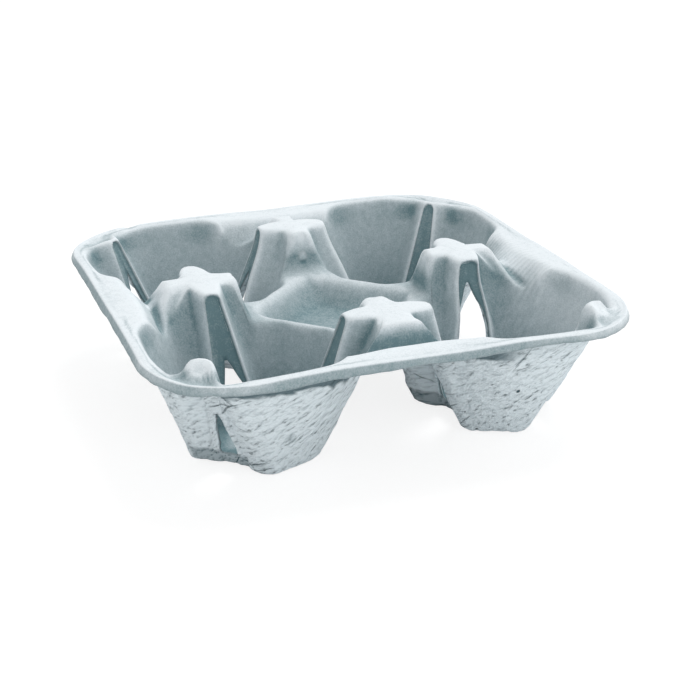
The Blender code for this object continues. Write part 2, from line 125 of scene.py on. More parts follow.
# How deep the top dips behind the post, at some of those stations, and at what share of the
# way to the crest it has what share of that depth
DIP_STATIONS, DIP_DEPTHS = (0, 5, 6, 7, 8), (0, 0, 3.0, 4.2, 4.4)
DIP_WAY, DIP_SHARES = (0, 0.36, 0.8, 1), (0, 1, 0.25, 0)
BOWL_EDGE = BOWL_EDGE_X * np.array([(0.52, 0.52), (0.62, 0.42), (0.73, 0.315), (0.92, 0.15)])
BOWL_FOOT = BOWL_FOOT_X * np.array([(0.51, 0.51), (0.64, 0.435), (0.76, 0.35), (0.945, 0.165)])
print("half a side of the crest is", round(CREST_LENGTH, 1), "mm long")

# %% [markdown]
# Between two stations the brim has to swing softly, without the bumps that an ordinary
# spline makes beside a sharp turn. A cubic whose slopes are the harmonic mean of the
# chords on both sides can't overshoot, so it is used for every row of points. Flat
# panels are the exception: there the row runs straight.


# %% Curves along a row, and round bends between two directions
def unit(v):
    """Each vector divided by its length."""
    return v / np.maximum(np.linalg.norm(v, axis=-1, keepdims=True), 1e-9)


def bend(a, corner, b, t):
    """Quadratic curve: (1-t)^2 a + 2t(1-t) corner + t^2 b."""
    return a * (1 - t) ** 2 + corner * 2 * t * (1 - t) + b * t * t


def soft(t):
    """Smooth step: 3t^2 - 2t^3 between 0 and 1, and flat outside."""
    t = np.clip(t, 0, 1)
    return t * t * (3 - 2 * t)


def fade(value, start, length):
    """Smooth step of (value - start) / length. With a negative length it is 1 below the slope."""
    return soft((value - start) / length)


def slopes(points, before, after):
    """Harmonic mean of the chords beside each point, or zero where they turn back."""
    q = np.concatenate([before[:, None], points, after[:, None]], axis=1)
    d = np.diff(q, axis=1)
    a, b = d[:, :-1], d[:, 1:]
    total = np.where(np.abs(a + b) < 1e-9, 1, a + b)
    return np.where(a * b > 0, 2 * a * b / total, 0)


def along(points, k, t, straight, before, after):
    """Rows of station points made fine: cubic (1, t, t^2, t^3) blend of the two stations k and
    k + 1, or the straight line between them. points is rows x stations x 3, t rows x columns."""
    m = slopes(points, before, after)
    a, b = points[:, k], points[:, k + 1]
    t = t[..., None]
    curve = ((2 * t**3 - 3 * t**2 + 1) * a + (t**3 - 2 * t**2 + t) * m[:, k]
             + (3 * t**2 - 2 * t**3) * b + (t**3 - t**2) * m[:, k + 1])
    return np.where(straight[None, :, None], a * (1 - t) + b * t, curve)


print("half way up a smooth step:", soft(0.5))

# %% [markdown]
# Every row of the grid has the same columns, so many from each station to the next. The
# noses and the posts are sunk panels with a crisp edge, so there the columns stand close
# together at the edge, and one of them can later follow the edge of a tear.

# %% Columns of the grid
# Shares of a panel from its edge to its middle; EDGE_IN is where its sunk floor starts
EDGE_IN = 0.055
PANEL_T = np.array([0.0, EDGE_IN, 0.16, 0.32, 0.5, 0.66, 0.83])

col_k, col_t, col_flat = [], [], []
for index, row in enumerate(STATIONS[:-1]):
    count = row[-1]
    t = np.arange(count) / count
    if row[0] in ("inner edge", "post edge"):
        t = PANEL_T
    if row[0] == "nose":
        t = np.concatenate([[0.0], 1 - PANEL_T[:0:-1]])
    col_k += [index] * count
    col_t += list(t)
    col_flat += [row[0] in ("inner edge", "nose", "post edge")] * count
col_k, col_t = np.array(col_k + [len(STATIONS) - 2]), np.array(col_t + [1.0])
col_flat = np.array(col_flat + [True])
first = np.array([int(np.argmax(col_k == index)) for index in range(len(STATIONS) - 1)]
                 + [len(col_k) - 1])
print(len(col_k), "columns round half a well")

# %% [markdown]
# Each well is drawn down from the brim to a flat ring that the carrier stands on. The
# noses of the towers and of the corner posts are flat panels, and the deep draw has torn
# them open below. No two tears are alike, so each nose has a row of its own in a table.
# The feet aren't alike either: one is fuller at its corner, and parts of two others are
# turned a little. One tower has a wide outer arm.

# %% What differs from eighth to eighth, named by (x and y swapped, sign of x, sign of y)
# height of the tear's tip and its widest share of the tower panel's inner and outer half, the
# same for the post's, and how deep each is sunk: at the inner, outer and post's edge
PANELS = {
    (0, 1, -1): (48.5, 0.93, 0.90, 33.0, 0.72, 2.0, 1.5, 0.8),
    (0, -1, -1): (30.0, 0.93, 0.42, 31.0, 0.48, 1.9, 0.25, 0.8),
    (1, -1, 1): (38.0, 0.80, 0.80, 30.0, 0.66, 1.5, 0.5, 1.3),
    (1, 1, 1): (44.0, 0.84, 0.84, 27.0, 0.60, 1.2, 0.8, 0.8),
    (0, 1, 1): (43.0, 0.85, 0.85, 27.0, 0.66, 1.2, 0.8, 1.0),
    (0, -1, 1): (40.0, 0.78, 0.78, 38.0, 0.92, 1.2, 0.8, 0.2),
    (1, 1, -1): (42.0, 0.82, 0.82, 33.0, 0.60, 1.2, 0.8, 0.8),
    (1, -1, -1): (36.0, 0.80, 0.80, 31.0, 0.52, 1.2, 0.8, 0.8),
}
# A station's own foot angle and foot distance, and where it has one, its brim's shift in mm
WIDE_ARM = {"outer arm": (90.0, 0.955, -1.2, -2.4, 7.5), "saddle": (95.5, 0.955, -2.4, -0.6, 0.6)}
FULL_FOOT = {"flange end": (138.0, 1.03), "post hollow": (145.0, 1.02), "post side": (152.0, 0.93),
             "post edge": (159.0, 0.83), "post nose": (180.0, 0.74)}
TURNED_FOOT = {"ridge side": (6.8, 1.22), "face foot": (11.0, 1.23), "bowl arm": (13.4, 1.17),
               "inner hollow": (14.6, 1.05, -0.8), "inner side": (15.4, 0.93, -1.8),
               "inner edge": (16.4, 0.80, -2.2), "nose": (50.0, 0.61, -1.2)}
WIDE_POST = {"post hollow": (140.0, 0.95), "post side": (143.0, 0.86), "post edge": (147.0, 0.76, 0.8)}
MOVES = {(0, 1, -1): TURNED_FOOT, (1, 1, -1): WIDE_ARM, (1, -1, -1): {**WIDE_ARM, **FULL_FOOT},
         (0, -1, -1): FULL_FOOT, (0, -1, 1): WIDE_POST}
# Two corners have a post that ends in a higher, plain knob, so its panel starts lower
POST_RISE = {(-1, -1): 3.9, (1, -1): 3.2}
KNOB_PANEL_DROP, POST_PANEL_DROP, NOSE_PANEL_DROP = 5.5, 1.2, 0.8
PANEL_ARCH = 2.4  # how much a panel's upper edge falls towards its sides
POST_SUNK = 0.8  # how deep a post's panel is sunk along its middle
NOSE_INWARD, POST_INWARD = (0.1, -0.95, -0.28), (0.66, 0.66, -0.3)


def lines_of(key):
    """Middle line and knees of a key's tower: the one at negative y has the wide arm."""
    return (WIDE_SPINE, WIDE_KNEES) if key and key[0] and key[2] < 0 else (SPINE, KNEES)


print(len(PANELS), "eighths, of which", len(MOVES), "differ in plan")

# %% [markdown]
# A well could be a plain cone with the tears cut out by a Boolean, but then every tear
# would need a cutter of its own. It is easier to let the grid do it. Its rows go from the
# middle of the floor up to the top, a column beside each tear is moved on to the tear's
# edge, and the cells inside are left out.

# %% Rows of a well, and the crest of the rim
FLOOR_ROWS, RING_ROWS, FOOT_ROWS, BRIM_ROWS, TOP_ROWS = 2, 2, 5, 5, 8
WALL_SHARES = np.concatenate([np.linspace(0, 0.78, 15)[:-1], np.linspace(0.78, 1, 9)])
BAND_ROW = FLOOR_ROWS + RING_ROWS + FOOT_ROWS
RING_SHARE = 0.64  # inner edge of the ring that the carrier stands on
TO_MIDDLE = 135  # foot angles start at the side that faces the bowl, in degrees
BEND_SHARES = np.arange(6) / 5
swap_xy = [1, 0, 2]


def station_rows(key=None):
    """Rows of station points of a well: down from its raised middle to the ring, flat to the
    foot, a quadratic bend round it, straight up the wall, and another over the brim."""
    brim = np.array([row[1:4] for row in STATIONS], float)
    feet = {**{row[0]: row[4:6] for row in STATIONS}, **MOVES.get(key, {})}
    moved = np.array([(*feet[name], 0, 0, 0)[:5] for name in NAMES])
    brim += moved[:, 2:]
    turn, reach = np.radians(moved[:, 0] - TO_MIDDLE), moved[:, 1] * FOOT_RADIUS
    foot = WELL + np.stack([reach * np.cos(turn), reach * np.sin(turn), 0 * turn], axis=-1)
    edge = foot + unit(WELL - foot) * FOOT_ROUND
    ring = WELL + (edge - WELL) * RING_SHARE
    band = foot + (brim - foot) * ((BAND - SHEET) / (brim[:, 2:] - SHEET))
    low = foot + unit(band - foot) * FOOT_ROUND
    length = np.linalg.norm(brim - foot, axis=1, keepdims=True)
    wall_top = brim + unit(foot - brim) * np.minimum(BRIM_ROUND, 0.3 * length)
    arm = at("bowl arm")
    side = unit(brim[arm + 1] - brim[arm]) * BRIM_ROUND
    wall_top[arm] += side
    wall_top[arm - 1] += side / 2
    crest = crest_line(np.array(CREST_SHARES))[0]
    bowl = np.column_stack([BOWL_EDGE[:3], brim[:3, 2]])
    spine, knees = lines_of(key)
    land = np.concatenate([bowl, spine, crest[1:]])
    for name, knee in knees.items():
        land[at(name)] = knee
    land[at("bridge end")] = crest[0]
    gap = np.linalg.norm(land - brim, axis=1, keepdims=True)
    over = brim + unit(land - brim) * np.minimum(BRIM_ROUND, 0.45 * gap)
    over[arm] = brim[arm] + unit(land[arm] - brim[arm]) * ARM_ROUND
    rows = []
    for share in np.arange(FLOOR_ROWS) / FLOOR_ROWS:
        row = WELL + (ring - WELL) * share
        row[:, 2] += FLOOR_RISE * (1 - soft(share))
        rows.append(row)
    rows += [ring + (edge - ring) * share for share in np.arange(RING_ROWS) / RING_ROWS]
    rows += [bend(edge, foot, low, share) for share in np.arange(FOOT_ROWS) / (FOOT_ROWS - 1)]
    rows += [band + (wall_top - band) * share for share in WALL_SHARES[:-1]]
    rows += [bend(wall_top, brim, over, share) for share in np.arange(BRIM_ROWS + 1) / BRIM_ROWS]
    return np.array(rows)


def crest_line(shares):
    """Crest of the rim: straight up to the corner's arc, then round it. Also its outward side."""
    straight, length = RIM_HALF - CORNER_RADIUS, CREST_LENGTH
    run = shares * length
    angle = np.maximum(run - straight, 0) / CORNER_RADIUS
    out = np.stack([np.cos(angle), np.sin(angle), 0 * angle], axis=-1)
    z = RIM_HEIGHT - CORNER_DIP * fade(run, BRIDGE_HALF, length - BRIDGE_HALF)
    base = np.stack([0 * run + straight, np.minimum(run, straight), z], axis=-1)
    return base + out * CORNER_RADIUS, out


print("rows up a well:", len(station_rows()), "of", len(WALL_SHARES) - 1, "on the wall")

# %% [markdown]
# A tear starts as a narrow tip, opens downwards and has a ragged edge. The column in the
# middle of a panel's half is moved on to that edge, and its neighbours share the way.

# %% Tears in the panels
FULL_WIDTH = 14.0  # a tear reaches its full width this far below its tip
TIP_SHARE, RAGGED = 0.08, 0.035  # its open share at the tip, and how uneven its edge is


def torn_columns(rows, tip_z, widest, column, rng):
    """Where a tear's edge runs: w, the open share of half the panel, grows from TIP_SHARE at
    the tip to its widest, with a ragged part, and 1 - w is the edge's share across the panel."""
    z = rows[:, column, 2]
    depth = (tip_z - z) / FULL_WIDTH
    w = np.where(depth >= 0, TIP_SHARE + (widest - TIP_SHARE) * np.clip(depth, 0, 1) ** 0.9,
                 TIP_SHARE + 0.42 * soft(-depth * 2.2))
    torn = (depth >= -0.05) & (np.arange(len(z)) >= BAND_ROW)
    w = np.clip(w + torn * rng.normal(0, RAGGED, len(z)), 0.05, 0.93)
    return 1 - np.where(np.arange(len(z)) < BAND_ROW - 1, 0.5, w), torn


def remap(t, edge):
    """Keeps 0, EDGE_IN and 1 in place and moves 0.5 to the tear's edge, linear between."""
    low = EDGE_IN + (t - EDGE_IN) * (edge - EDGE_IN) / (0.5 - EDGE_IN)
    high = 1 - (1 - t) * (1 - edge) / 0.5
    return np.where(t <= EDGE_IN, t, np.where(t <= 0.5, low, high))


print("a column half way across goes to the tear's edge at 0.1:", remap(0.5, 0.1))

# %% [markdown]
# One eighth of the carrier is worked out as four grids: the well, the tower's top, the
# bowl and the rim. Neighbouring grids share their border points, so they can be welded.
# Every point also carries a shift, which later sinks the panels with a crisp edge. It is
# kept apart until the sheet has been smoothed, or the smoothing would blur it away.


# %% The well of an eighth
def panel_shift(points, t, left, right, sunk, inward, highest):
    """Shift of a flat panel: on to the chord between its edges, then sunk further in, by the
    two depths of its edges. It starts within EDGE_IN of the panel's half width, under a
    round-topped upper edge. The last two numbers of a point say how much it is in the sunk
    panel, and how much in the strip that the panel takes from the top to the foot."""
    start = first[at(left)]
    end = first[at(right)] if right else len(col_k) - 1
    share = t[:, start:end + 1] / 2
    if right:
        share = share + 0.5 * (col_k[start:end + 1] > at(left))
        share[:, -1] = 1
    a = points[:, start][:, None]
    b = points[:, end][:, None] if right else a[..., swap_xy]
    across = 1 - np.abs(1 - 2 * share)
    roof = highest - PANEL_ARCH * (1 - across) ** 3
    z = points[:, start:end + 1, 2]
    mask = soft(across / EDGE_IN) * fade(z, roof, -0.9) * fade(z, BAND - 3, 4)
    deep = sunk[0] + (sunk[1] - sunk[0]) * share * (1 if right else 2)
    target = a + (b - a) * share[..., None] + unit(np.array(inward)) * deep[..., None]
    shift = np.zeros((*points.shape[:2], 5))
    shift[:, start:end + 1, :3] = (target - points[:, start:end + 1]) * mask[..., None]
    shift[:, start:end + 1, 3] = mask
    shift[:, start:end + 1, 4] = soft(across / EDGE_IN)
    return shift


def well_grid(key):
    """Fine points of the well, their panel shifts, and which cells are torn away."""
    tower_tip, inner_wide, outer_wide, post_tip, post_wide, inner, outer, post_sunk = PANELS[key]
    rng = np.random.default_rng(11 + key[0] * 4 + (key[1] > 0) * 2 + (key[2] > 0))
    rows = station_rows(key)
    t = np.repeat(col_t[None], len(rows), axis=0)
    gone = np.zeros((len(rows) - 1, len(col_k) - 1), bool)
    nose, post = at("nose"), at("post nose")
    for station, column, tip_z, widest in ((nose - 1, nose, tower_tip, inner_wide),
                                           (nose, nose, tower_tip, outer_wide),
                                           (post - 1, post, post_tip, post_wide)):
        edge, torn = torn_columns(rows, tip_z, widest, column, rng)
        here = np.flatnonzero(col_k[:-1] == station)
        u = 1 - col_t[here] if station == nose else col_t[here]
        moved = remap(u, edge[:, None])
        t[:, here] = 1 - moved if station == nose else moved
        inside = here[col_t[here] < 0.5] if station == nose else here[col_t[here] >= 0.5]
        gone[np.ix_(torn[:-1] & torn[1:], inside)] = True
    points = along(rows, col_k, t, col_flat, rows[:, 1][:, swap_xy], rows[:, -2][:, swap_xy])
    shift = panel_shift(points, t, "inner edge", "outer edge", (inner, outer), NOSE_INWARD,
                        TOWER_TOP - NOSE_PANEL_DROP)
    shift += panel_shift(points, t, "post edge", None, (post_sunk, POST_SUNK), POST_INWARD,
                         RIM_HEIGHT - (KNOB_PANEL_DROP if key[1:] in POST_RISE else POST_PANEL_DROP))
    return points, shift, gone


print("cells torn out of the first eighth:", well_grid((0, 1, -1))[2].sum())


# %% [markdown]
# The other three grids start from rows that are there already: the top from the well's last
# row, the bowl from the top's first column, and the rim from its last. So their borders
# match point for point.


# %% The top, the bowl and the rim of an eighth
def bowl_grid(ridge, face):
    """Rows from the ridge over its inner edge, down the bowl's wall and to its middle."""
    k = np.append(col_k[:face], at("face foot") - 1)
    t = np.append(col_t[:face], 1.0)[None]
    level = np.array([RIDGE_TOP, RIDGE_TOP, RIDGE_TOP, FACE_FOOT])
    straight = np.zeros(len(k), bool)
    s = (np.arange(1, TOP_ROWS + 1) / TOP_ROWS)[:, None]

    def outline(plan, heights, end):
        """Smooth line through the given corners, then straight on to the tower's middle."""
        p = np.column_stack([plan, heights])[None]
        line = along(p, k, t, straight, p[:, 1][:, swap_xy], np.array([end]))[0]
        return np.concatenate([line, line[-1] * (1 - s) + np.array(end) * s])

    edge = outline(BOWL_EDGE, level, (BOWL_EDGE_X, 0, FACE_FOOT))
    foot = outline(BOWL_FOOT, np.full(4, BOWL_FLOOR), (BOWL_FOOT_X, 0, BOWL_FLOOR))
    middle = np.array((0, 0, BOWL_FLOOR + BOWL_CROWN))
    wall_top = edge + unit(foot - edge) * BOWL_ROUND
    wall_foot = foot + unit(edge - foot) * BOWL_FOOT_ROUND
    floor_edge = foot + unit(middle - foot) * BOWL_FLOOR_ROUND
    rows = [bend(ridge, edge, wall_top, share) for share in BEND_SHARES]
    rows += [wall_top + (wall_foot - wall_top) * share for share in (0.33, 0.67)]
    rows += [bend(wall_foot, foot, floor_edge, share) for share in BEND_SHARES]
    rows += [floor_edge + (middle - floor_edge) * share for share in (0.25, 0.5, 0.75, 1)]
    return np.array(rows)


def rim_grid(flange, end):
    """Rows from the flange past the dip behind the post, over the crest and down the lip."""
    station = (col_k + col_t)[end + 1:] - at("bridge end")
    shares = np.concatenate([flange[:TOP_ROWS + 1, 1] / CREST_LENGTH,
                             np.interp(station, np.arange(len(CREST_SHARES)), CREST_SHARES)])
    crest, out = crest_line(shares)
    reach = np.linalg.norm(crest - flange, axis=1, keepdims=True)
    start = crest + unit(flange - crest) * np.minimum(CREST_ROUND, 0.4 * reach)
    lip = crest + out * LIP_FLARE - np.array((0, 0, LIP_DROP))
    turn = crest + unit(lip - crest) * CREST_ROUND
    depth = np.interp(np.concatenate([np.zeros(TOP_ROWS + 1), station]), DIP_STATIONS, DIP_DEPTHS)
    rows = []
    for share in np.arange(7) / 7:
        row = flange + (start - flange) * share
        row[:, 2] -= depth * np.interp(share, DIP_WAY, DIP_SHARES)
        rows.append(row)
    rows += [bend(start, crest, turn, share) for share in BEND_SHARES]
    rows += [turn + (lip - turn) * share for share in (0.5, 1)]
    return np.array(rows)


def eighth(key):
    """All grids of one eighth as (points, shifts or None, cells left out or None). The top runs
    straight from the brim to the knees, and straight on to the tower's middle line."""
    well, shift, torn = well_grid(key)
    over = well[-1]
    face, end = first[at("face foot")], first[at("bridge end")]
    k, t = col_k[face:end + 1] - at("face foot"), col_t[face:end + 1, None]
    target, knees = lines_of(key)
    target = np.array(target, float)
    knee = (well[-1, first[at("face foot"):at("bridge end") + 1]] + target) / 2
    for name, place in knees.items():
        knee[at(name) - at("face foot")] = place
    after = np.minimum(k + 1, len(target) - 1)
    middle, bent = (p[k] * (1 - t) + p[after] * t for p in (target, knee))
    s = (np.arange(TOP_ROWS + 1) / TOP_ROWS)[:, None, None] * 2
    top = np.where(s < 1, over[None, face:end + 1] * (1 - s) + bent[None] * s,
                   bent[None] * (2 - s) + middle[None] * (s - 1))
    ridge = np.concatenate([over[:face], top[:, 0]])
    flange = np.concatenate([top[::-1, -1], over[end + 1:]])
    return [(well, shift, torn), (top, None, None), (bowl_grid(ridge, face), None, None),
            (rim_grid(flange, end), None, None)]


parts = eighth((0, 1, -1))
print("points in the grids of an eighth:", [p.shape[0] * p.shape[1] for p, _, _ in parts])

# %% [markdown]
# The eighth is mirrored and turned into eight copies, each with its own tears, and they
# are welded into one sheet. Welding by rounded places needs no search, and it closes the
# seams and the poles.

# %% Eight copies, welded into one sheet
WELD_CELL = 0.002  # points that round to the same cell of this size are one


def weld(points, faces, extra):
    """Points in one cell become one: places are rounded and np.unique numbers them."""
    _, kept, index = np.unique(np.round(points / WELD_CELL).astype(np.int64), axis=0,
                               return_index=True, return_inverse=True)
    index = index.reshape(-1)
    return points[kept], index[faces], extra[kept]


points, shifts, quads, total = [], [], [], 0
for key in PANELS:
    turned = (key[0] + (key[1] < 0) + (key[2] < 0)) % 2 == 1
    side = np.array((key[1], key[2], 1))
    for grid, shift, gone in eighth(key):
        index = total + np.arange(grid.shape[0] * grid.shape[1]).reshape(grid.shape[:2])
        quad = np.stack([index[:-1, :-1], index[1:, :-1], index[1:, 1:], index[:-1, 1:]], axis=-1)
        quad = quad[~gone] if gone is not None else quad.reshape(-1, 4)
        quads.append(quad[:, ::-1] if turned else quad)
        grid = grid.reshape(-1, 3)
        shift = np.zeros((len(grid), 5)) if shift is None else shift.reshape(-1, 5)
        if key[0]:
            grid, shift = grid[:, swap_xy], shift[:, swap_xy + [3, 4]]
        points.append(grid * side)
        shifts.append(shift * np.append(side, (1, 1)))
        total += index.size
top, quads, shift = weld(np.concatenate(points), np.concatenate(quads), np.concatenate(shifts))
used = np.unique(quads)
number = np.full(len(top), -1)
number[used] = np.arange(len(used))
top, quads = top[used], number[quads]
shift, in_panel, in_strip = shift[used, :3], shift[used, 3], shift[used, 4]
print("welded sheet:", len(top), "points,", len(quads), "cells")

# %% [markdown]
# The drying sheet evens out, so the welded grid is smoothed. Each point moves to the mean
# of its neighbours, but only along the surface's normal: it then can't drift sideways and
# pull the columns together. Points on an open edge stay where they are, the rim and the
# star tops keep most of their shape, and the lower walls are evened out once more.


# %% Smoothing along the normals
def edges_of(quads):
    """Every edge of the quads once, with how many quads use it."""
    pairs = np.concatenate([quads[:, [i, (i + 1) % 4]] for i in range(4)])
    pairs = pairs[pairs[:, 0] != pairs[:, 1]]
    return np.unique(np.sort(pairs, axis=1), axis=0, return_counts=True)


def spread(index, values, count):
    """Sum of values into count places, one column at a time, with np.bincount."""
    columns = [np.bincount(index, values[:, i], count) for i in range(values.shape[1])]
    return np.stack(columns, axis=-1)


def normals(points, quads):
    """Point normals: the cross product of each quad's diagonals, summed at its corners."""
    q = points[quads]
    cross = np.cross(q[:, 2] - q[:, 0], q[:, 3] - q[:, 1])
    return unit(spread(quads.T.reshape(-1), np.tile(cross, (4, 1)), len(points)))


def smooth(points, quads, rounds, free, normal_only=True):
    """Moves points half way to the mean of their neighbours, or only along their normals."""
    edges, _ = edges_of(quads)
    ends = np.concatenate([edges, edges[:, ::-1]])
    count = np.bincount(ends[:, 0], minlength=len(points))[:, None]
    for _ in range(rounds):
        step = spread(ends[:, 0], points[ends[:, 1]], len(points)) / np.maximum(count, 1) - points
        if normal_only:
            n = normals(points, quads)
            step = n * np.sum(step * n, axis=1, keepdims=True)
        points = points + 0.5 * step * free[:, None]
    return points


def rim_reach(p):
    """How far out a point lies: 108 all along the rounded square of the rim's crest."""
    straight = RIM_HALF - CORNER_RADIUS
    return straight + np.linalg.norm(np.maximum(np.abs(p[:, :2]) - straight, 0), axis=1)


edges, uses = edges_of(quads)
open_edge = np.zeros(len(top), bool)
open_edge[edges[uses == 1].reshape(-1)] = True
crisp = fade(rim_reach(top), 103, 3)
star = fade(top[:, 2], RIM_HEIGHT, 2)
top = smooth(top, quads, 4, (1 - 0.96 * crisp) * (1 - 0.8 * star) * ~open_edge)
top = smooth(top, quads, 10, fade(top[:, 2], 44, -12) * fade(top[:, 2], 5, 8) * ~open_edge)
print("open edge points:", open_edge.sum(), "and edges of more than two cells:", (uses > 2).sum())

# %% [markdown]
# The under side lay on the suction screen and is as rough as felt. A displacement texture
# could roughen it, but here value noise does: random numbers on a lattice, blended softly
# between its corners. Round a part of each foot the mould pressed the felt into a smooth
# band, which lies a little deeper.

# %% Value noise, and the pressed band round a foot
LATTICE, FAR = 64, 1000.0  # cells until the noise repeats, and a shift to positive places


def lumps(points, size, seed):
    """Value noise from -1 to 1 with cells of the given size in mm, one size or one per axis."""
    lattice = np.random.default_rng(seed).uniform(-1, 1, (LATTICE, LATTICE, LATTICE))
    place = points / np.array(size, float) + FAR
    low = np.floor(place).astype(int)
    share = soft(place - low)
    total = 0
    for corner in np.ndindex(2, 2, 2):
        weight = np.prod(np.where(corner, share, 1 - share), axis=1)
        total = total + weight * lattice[tuple(((low + corner) % LATTICE).T)]
    return total


# Where the band runs round each well: from and to, in mm from the side that faces the corner
BANDS = {(-1, -1): (-22.5, 12.0), (1, -1): (-106.0, -80.0), (-1, 1): (-15.5, 15.5),
         (1, 1): (-15.5, 15.5)}
BAND_RADIUS = 35.0  # where that way round is measured
BAND_TOP, BAND_DEPTH = 8.8, 0.7


def round_well(p):
    """Centre of the well a point belongs to, and its way round it, angle times BAND_RADIUS."""
    centre = np.sign(p[:, :2]) * WELL_X
    dx, dy = (p[:, :2] - centre).T
    angle = np.arctan2(dy, dx) - np.arctan2(centre[:, 1], centre[:, 0])
    return centre, np.arctan2(np.sin(angle), np.cos(angle)) * BAND_RADIUS


def foot_band(p):
    """1 in the smooth band that is pressed round a part of each foot, 0 elsewhere."""
    centre, way = round_well(p)
    table = np.array([[BANDS[sx, sy] for sy in (-1, 1)] for sx in (-1, 1)])
    low, high = table[tuple((centre > 0).astype(int).T)].T
    inside = fade(way, low, 1.5) * fade(way, high, -1.5)
    return inside * fade(p[:, 2], BAND_TOP + 0.7 * lumps(p, 5, 41), -0.8)


print("points in a pressed band:", (foot_band(top) > 0.5).sum())

# %% [markdown]
# The rough side is the smooth side moved in by the sheet's thickness. Solidify would do
# that too, but it crosses itself in tight hollows, so the moved points are evened out and
# their depth is kept between two limits. Then come the felt's lumps, the torn edges, and
# the panels' shift, and a wall of cells along every open edge closes the sheet.

# %% The rough under side and the torn edges between the two sides
FOLD_X, FOLD_WIDTH, FOLD_DEPTH = 87.3, 1.4, 0.8  # a soft fold across the two side saddles
THIN, THICK = 0.8 * SHEET, 1.25 * SHEET
EDGE_SHARE = 0.6  # how thick the sheet still is at a torn edge


def edge_numbers(pairs, count):
    """One number for each edge, the same whichever way it runs."""
    return np.sort(pairs, axis=1) @ np.array((count, 1))


n = normals(top, quads)
beside_x, beside_y, height = abs(top[:, 0]), abs(top[:, 1]), top[:, 2]
fold = np.exp(-((beside_x - FOLD_X) / FOLD_WIDTH) ** 2) * fade(height, 36, 4)
fold *= fade(beside_y, 2, 4) * fade(beside_y, 26, -8)
top = top - n * FOLD_DEPTH * fold[:, None]
under = smooth(top - n * SHEET, quads, 3, np.ones(len(top)), normal_only=False)
depth = np.sum((under - top) * n, axis=1, keepdims=True)
under += n * (np.clip(depth, -THICK, -THIN) - depth)
rough = 0.42 * lumps(under, 3.6, 5) + 0.24 * lumps(under, 1.8, 6)
rough += 0.35 * fade(under[:, 2], 7, -4) * fade(under[:, 2], 0, 2) * lumps(under, 3.0, 12)
under += n * (rough + BAND_DEPTH * foot_band(under))[:, None]
under[open_edge] = top[open_edge] + (under - top)[open_edge] * EDGE_SHARE
fray = np.stack([lumps(top, 2.9, seed) for seed in (7, 8, 9)], axis=-1)
fray *= (0.25 - 0.12 * crisp[:, None]) * open_edge[:, None]
top, under = top + fray + shift, under + fray + shift

count = len(top)
directed = np.concatenate([quads[:, [i, (i + 1) % 4]] for i in range(4)])
walls = directed[np.isin(edge_numbers(directed, count), edge_numbers(edges[uses == 1], count))]
sides = np.column_stack([walls[:, 1], walls[:, 0], walls[:, 0] + count, walls[:, 1] + count])
body = np.concatenate([top, under])
faces = np.concatenate([quads, quads[:, ::-1] + count, sides])
print("sheet closed:", len(body), "points,", len(faces), "cells, ragged edge cells:", len(sides))

# %% [markdown]
# No carrier comes off the mould quite true. Each corner dips by its own amount, one tower
# leans towards the middle, two towers are narrower, two posts end higher, the rim waves a
# little and has a dent, and its lip is uneven. These are soft shifts of the whole sheet,
# both sides together, so its thickness stays as it is.

# %% The sheet's own warps
CORNER_LIFT = {(-1, -1): -0.7, (-1, 1): 0.5, (1, -1): 1.0, (1, 1): 2.0}
TOWER_TURN = {(1, 0): (-3.0, 0, 0.88), (0, 1): (0, 0, 0.86)}  # lean in x, in y, and width
POST_X = 87.2  # middle of a post's head
RIM_WAVE = 0.55
LIP_TOP = RIM_HEIGHT - 1.4  # the lip is uneven below this
NOTCH, NOTCH_SIZE, NOTCH_DEPTH = (-73.0, 108.0), (3.0, 5.0), 1.4  # a dent in the far rim
BOX = ((-109.5, -109.5, 0.1), (109.5, 109.5, 59.8))  # nothing reaches past this


def warp(p):
    """Corner lifts, tower leans and narrowings, and rim waves, each fading out with height."""
    x, y, z = p.T
    high = fade(z, 0, RIM_HEIGHT)
    new = p.copy()
    for (sx, sy), lift in CORNER_LIFT.items():
        new[:, 2] += lift * fade(sx * x + sy * y, 120, 60) * high * (sx * x > 0) * (sy * y > 0)
    for (tx, ty), (dx, dy, narrow) in TOWER_TURN.items():
        reach = np.hypot(x - TOWER_X * tx, y - TOWER_X * ty)
        near = (1 - fade(reach, 20, 14)) * fade(z, 22, 30)
        new[:, 0] += near * (dx + (narrow - 1) * (x if ty else 0))
        new[:, 1] += near * (dy + (narrow - 1) * (y if tx else 0))
    for (sx, sy), rise in POST_RISE.items():
        reach = np.hypot(x - POST_X * sx, y - POST_X * sy)
        new[:, 2] += rise * (1 - fade(reach, 4.6, 4.0)) * fade(z, 40, 9)
    edge = fade(np.maximum(abs(x), abs(y)), 92, 14) * fade(z, 30, 20)
    new[:, 2] += edge * RIM_WAVE * lumps(p * (1, 1, 0), 21, 21)
    lip = fade(rim_reach(p), 106.8, 0.8) * np.clip(LIP_TOP - z, 0, 4)
    shorter = 0.26 + 0.17 * fade(x, -30, 40) * (y < 0)
    new[:, 2] += lip * (shorter + 0.24 * lumps(p * (1, 1, 0), 15, 33) + 0.10 * lumps(p, 4, 34))
    dent = ((x - NOTCH[0]) / NOTCH_SIZE[0]) ** 2 + ((y - NOTCH[1]) / NOTCH_SIZE[1]) ** 2
    new[:, 2] -= NOTCH_DEPTH * np.exp(-dent)
    return new


body = np.clip(warp(body), *BOX)
upper, lower = body[:count], body[count:]
print("box of the sheet in mm:", body.min(axis=0).round(1), body.max(axis=0).round(1))
